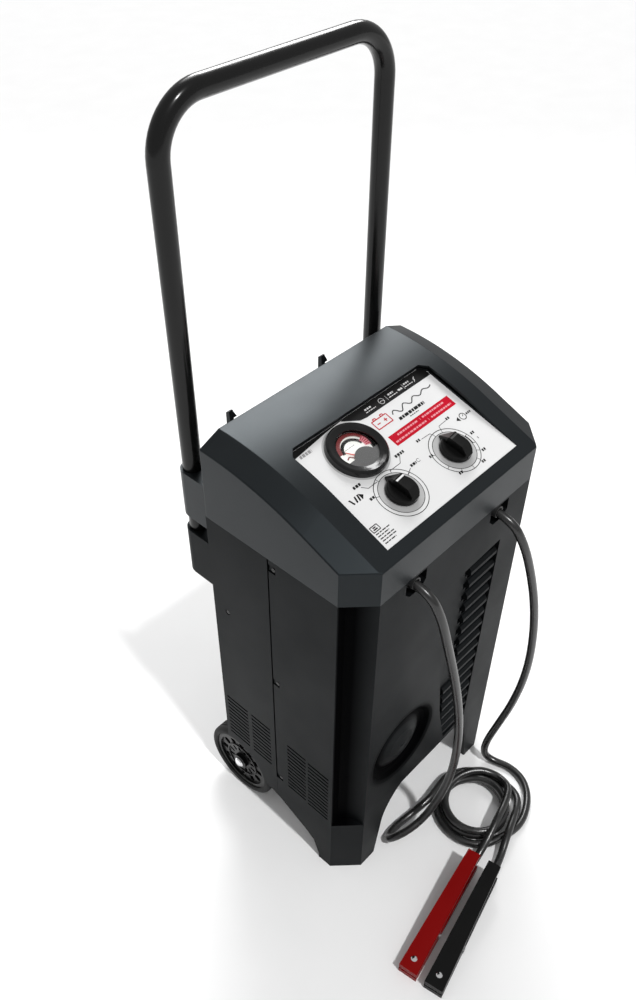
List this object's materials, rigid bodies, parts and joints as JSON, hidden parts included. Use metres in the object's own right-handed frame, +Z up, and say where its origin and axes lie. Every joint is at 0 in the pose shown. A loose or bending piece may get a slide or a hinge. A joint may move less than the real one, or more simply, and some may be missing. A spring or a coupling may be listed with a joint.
{
  "type": "car battery charger",
  "caption": "Upright wheeled battery charger: sloped panel with meter and rotary knobs, tube handle, vented cabinet, and red and black spring clamps on thick leads.",
  "frame": {"origin": "on the floor, at the centre of the cabinet, wheels and handle seen from above", "axes": "+Z up; -Y is the side with the louvres that the control panel faces; +X is to the right for someone facing that side"},
  "size_m": [0.3809, 0.4711, 1.0046],
  "materials": {
    "shell_black": "satin textured",
    "housing_black": "satin textured",
    "label": "satin printed film",
    "bezel_black": "gloss",
    "cover_grey": "satin",
    "case_black": "matte",
    "dial_white": "matte",
    "needle_red": "satin",
    "lens": "clear",
    "knob_black": "satin",
    "steel": "zinc plated",
    "bright_metal": "bright plated",
    "handle_black": "gloss enamel",
    "hub_black": "semi gloss",
    "tyre_black": "matte",
    "rubber_black": "matte",
    "lamination": "varnished",
    "winding": "enamelled copper wire",
    "aluminium": "natural",
    "red_plastic": "semi gloss",
    "black_plastic": "semi gloss",
    "switch_brown": "moulded phenolic",
    "screw_black": "black oxide",
    "lead_jacket": "semi gloss PVC"
  },
  "bodies": {
    "cabinet": {"top_housing": "housing_black", "front_shell": "shell_black", "rear_shell": "shell_black", "control_label": "label", "gauge_bezel": "bezel_black", "gauge_case": "case_black", "gauge_dial": "dial_white", "gauge_movement": "switch_brown", "gauge_cover": "cover_grey", "gauge_lens": "lens", "mode_switch": "switch_brown", "timer_unit": "case_black", "handle_tube": "handle_black", "handle_screws": "steel", "left_lead_grommet": "rubber_black", "right_lead_grommet": "rubber_black", "axle_rod": "steel", "axle_caps": "bright_metal", "shell_screws": "screw_black", "cord_hooks": "housing_black", "mains_gland": "rubber_black", "chassis_plate": "steel", "transformer_core": "lamination", "transformer_winding": "winding", "transformer_brackets": "steel", "rectifier_heatsink": "aluminium", "rectifier_diodes": "steel", "circuit_breaker": "switch_brown", "fan_frame": "case_black", "red_lead": "lead_jacket", "black_lead": "lead_jacket", "red_lead_tail": "lead_jacket", "black_lead_tail": "lead_jacket", "red_lead_coil": "lead_jacket", "black_lead_coil": "lead_jacket", "clamp_lower_rivets": "bright_metal", "red_clamp_lower_arm": "red_plastic", "red_clamp_lower_jaw": "steel", "red_clamp_pin": "steel", "red_clamp_spring": "steel", "black_clamp_lower_arm": "black_plastic", "black_clamp_lower_jaw": "steel", "black_clamp_pin": "steel", "black_clamp_spring": "steel"},
    "left_wheel": {"left_wheel_hub": "hub_black", "left_tyre": "tyre_black"},
    "right_wheel": {"right_wheel_hub": "hub_black", "right_tyre": "tyre_black"},
    "mode_selector": {"mode_knob": "knob_black", "mode_shaft": "steel"},
    "timer_selector": {"timer_knob": "knob_black", "timer_shaft": "steel"},
    "needle": {"gauge_needle": "needle_red"},
    "fan": {"fan_rotor": "case_black"},
    "red_clamp_upper": {"red_clamp_upper_arm": "red_plastic", "red_clamp_upper_jaw": "steel", "red_clamp_rivet": "bright_metal"},
    "black_clamp_upper": {"black_clamp_upper_arm": "black_plastic", "black_clamp_upper_jaw": "steel", "black_clamp_rivet": "bright_metal"}
  },
  "joints": [
    {"name": "left_wheel_spin", "type": "hinge", "parent": "cabinet", "child": "left_wheel", "pos_m": [-0.148, 0.079, 0.06], "axis": [1, 0, 0], "continuous": true},
    {"name": "right_wheel_spin", "type": "hinge", "parent": "cabinet", "child": "right_wheel", "pos_m": [0.148, 0.079, 0.06], "axis": [1, 0, 0], "continuous": true},
    {"name": "mode_knob_turn", "type": "hinge", "parent": "cabinet", "child": "mode_selector", "pos_m": [-0.045, -0.0865, 0.61806], "axis": [0, 0.284, -0.9588], "range_deg": [-60, 150]},
    {"name": "timer_knob_turn", "type": "hinge", "parent": "cabinet", "child": "timer_selector", "pos_m": [0.05, -0.0855, 0.61835], "axis": [0, 0.284, -0.9588], "range_deg": [0, 300]},
    {"name": "gauge_needle_swing", "type": "hinge", "parent": "cabinet", "child": "needle", "pos_m": [-0.044, -0.03113, 0.62924], "axis": [0, 0.284, -0.9588], "range_deg": [0, 76], "stiffness_Nm_per_rad": 0.0002},
    {"name": "fan_spin", "type": "hinge", "parent": "cabinet", "child": "fan", "pos_m": [0, 0.072, 0.33], "axis": [0, 1, 0], "continuous": true},
    {"name": "red_clamp_open", "type": "hinge", "parent": "cabinet", "child": "red_clamp_upper", "pos_m": [-0.1477, -0.2728, 0.0135], "axis": [-0.1478, 0.989, 0], "range_deg": [0, 11], "stiffness_Nm_per_rad": 1.5, "springref_deg": -28.65},
    {"name": "black_clamp_open", "type": "hinge", "parent": "cabinet", "child": "black_clamp_upper", "pos_m": [-0.1421, -0.3075, 0.0135], "axis": [-0.184, 0.9829, 0], "range_deg": [0, 11], "stiffness_Nm_per_rad": 1.5, "springref_deg": -28.65}
  ]
}
